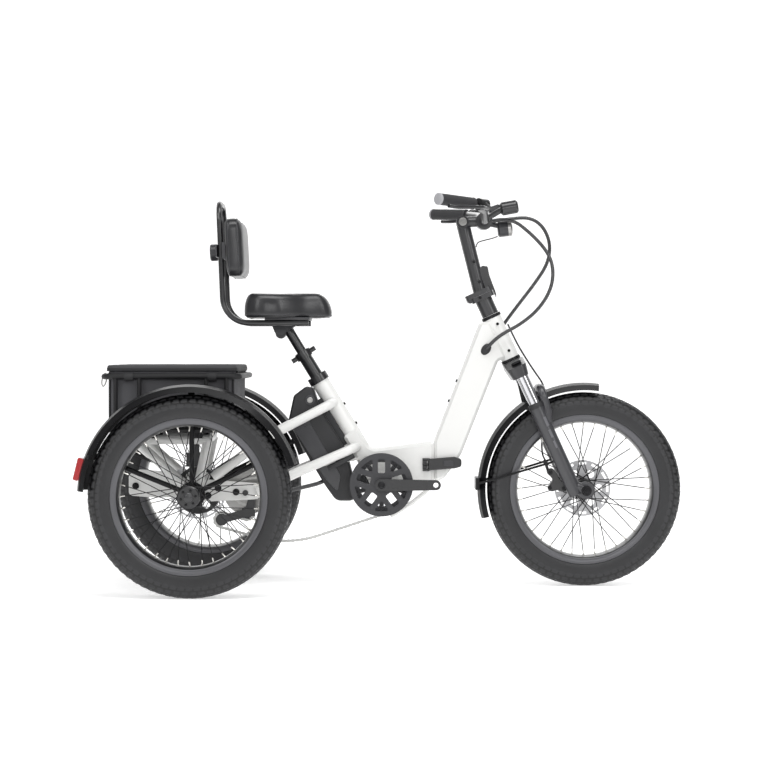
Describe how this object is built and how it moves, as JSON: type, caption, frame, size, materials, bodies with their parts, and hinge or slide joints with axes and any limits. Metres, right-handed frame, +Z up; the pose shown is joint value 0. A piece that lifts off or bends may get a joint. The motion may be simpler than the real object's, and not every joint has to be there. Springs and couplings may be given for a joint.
{
  "type": "electric tricycle",
  "caption": "Folding step-through electric tricycle with two rear wheels, a backrest saddle and a covered bag in a tube basket.",
  "frame": {"origin": "on the ground, below the middle of the trike's box", "axes": "+X forward, +Y to the rider's left, +Z up"},
  "size_m": [1.6784, 0.764, 1.0932],
  "materials": {
    "bag_fabric": "matte",
    "battery_plastic": "matte",
    "black_alloy": "satin",
    "black_gloss": "gloss",
    "bright_steel": "satin",
    "cable_jacket": "matte",
    "grip_rubber": "matte",
    "lamp_red": "gloss",
    "rim_alloy": "satin",
    "seat_vinyl": "satin",
    "stanchion_chrome": "gloss",
    "tyre_rubber": "matte",
    "white_paint": "satin"
  },
  "bodies": {
    "rear_frame": {"axle_cradle": "white_paint", "axle_housing": "black_alloy", "bag_body": "bag_fabric", "basket_frame": "black_gloss", "battery_dock": "battery_plastic", "battery_pack": "battery_plastic", "caliper_rear": "black_alloy", "cassette": "bright_steel", "chain": "bright_steel", "derailleur": "black_alloy", "drive_hub": "black_alloy", "fender_rear_left": "black_gloss", "fender_rear_right": "black_gloss", "frame_latch": "black_alloy", "frame_stays": "white_paint", "main_frame_rear": "white_paint", "rotor_rear": "bright_steel", "seat_clamps": "black_alloy", "seat_post_lower": "black_alloy", "tail_lamps": "lamp_red"},
    "front_frame": {"main_frame_front": "white_paint", "cable_right_low": "cable_jacket", "cable_left_low": "cable_jacket"},
    "steering": {"fork_upper": "black_alloy", "fork_stanchions": "stanchion_chrome", "fork_lower": "black_alloy", "fender_front": "black_gloss", "caliper_front": "black_alloy", "post_base": "black_alloy", "brake_hose_front": "cable_jacket", "cable_right_high": "cable_jacket", "cable_left_high": "cable_jacket"},
    "bar_set": {"handlepost": "black_alloy", "handlepost_latch": "black_alloy", "handlebar": "black_alloy", "grips": "grip_rubber", "brake_levers": "black_alloy", "display": "battery_plastic", "bell": "black_alloy", "headlamp": "battery_plastic"},
    "front_wheel": {"tyre_front": "tyre_rubber", "rim_front": "rim_alloy", "hub_front": "black_alloy", "rotor_front": "bright_steel"},
    "right_wheel": {"tyre_rear_right": "tyre_rubber", "rim_rear_right": "rim_alloy", "hub_rear_right": "black_alloy"},
    "left_wheel": {"tyre_rear_left": "tyre_rubber", "rim_rear_left": "rim_alloy", "hub_rear_left": "black_alloy"},
    "crankset": {"chain_guard": "black_alloy", "crank_arms": "black_alloy"},
    "lid": {"bag_lid": "bag_fabric"},
    "seat": {"seat_post_upper": "black_alloy", "saddle": "seat_vinyl", "saddle_base": "black_gloss", "backrest_frame": "black_gloss", "backrest_cushion": "seat_vinyl", "backrest_knob": "battery_plastic"}
  },
  "joints": [
    {"name": "frame_fold", "type": "hinge", "parent": "rear_frame", "child": "front_frame", "pos_m": [0.13821, 0.05, 0.354], "axis": [0, 0, 1], "range_deg": [0, 120]},
    {"name": "steer", "type": "hinge", "parent": "front_frame", "child": "steering", "pos_m": [0.29921, 0, 0.769], "axis": [-0.4163, 0, 0.9092], "range_deg": [-45, 45], "deforming": ["cable_right_low", "cable_left_low"]},
    {"name": "front_roll", "type": "hinge", "parent": "steering", "child": "front_wheel", "pos_m": [0.56421, 0, 0.275], "axis": [0, 1, 0], "continuous": true},
    {"name": "right_roll", "type": "hinge", "parent": "rear_frame", "child": "right_wheel", "pos_m": [-0.52679, -0.33, 0.275], "axis": [0, 1, 0], "continuous": true},
    {"name": "left_roll", "type": "hinge", "parent": "rear_frame", "child": "left_wheel", "pos_m": [-0.52679, 0.33, 0.275], "axis": [0, 1, 0], "continuous": true},
    {"name": "crank_turn", "type": "hinge", "parent": "rear_frame", "child": "crankset", "pos_m": [-0.01079, 0, 0.292], "axis": [0, 1, 0], "continuous": true},
    {"name": "post_fold", "type": "hinge", "parent": "steering", "child": "bar_set", "pos_m": [0.24116, 0, 0.81171], "axis": [0, -1, 0], "range_deg": [0, 100], "deforming": ["cable_right_high", "cable_left_high"]},
    {"name": "lid_open", "type": "hinge", "parent": "rear_frame", "child": "lid", "pos_m": [-0.41079, 0, 0.6113], "axis": [0, 1, 0], "range_deg": [0, 60]},
    {"name": "seat_height", "type": "slide", "parent": "rear_frame", "child": "seat", "axis": [-0.5225, 0, 0.8526], "range_m": [-0.02, 0.08]}
  ]
}
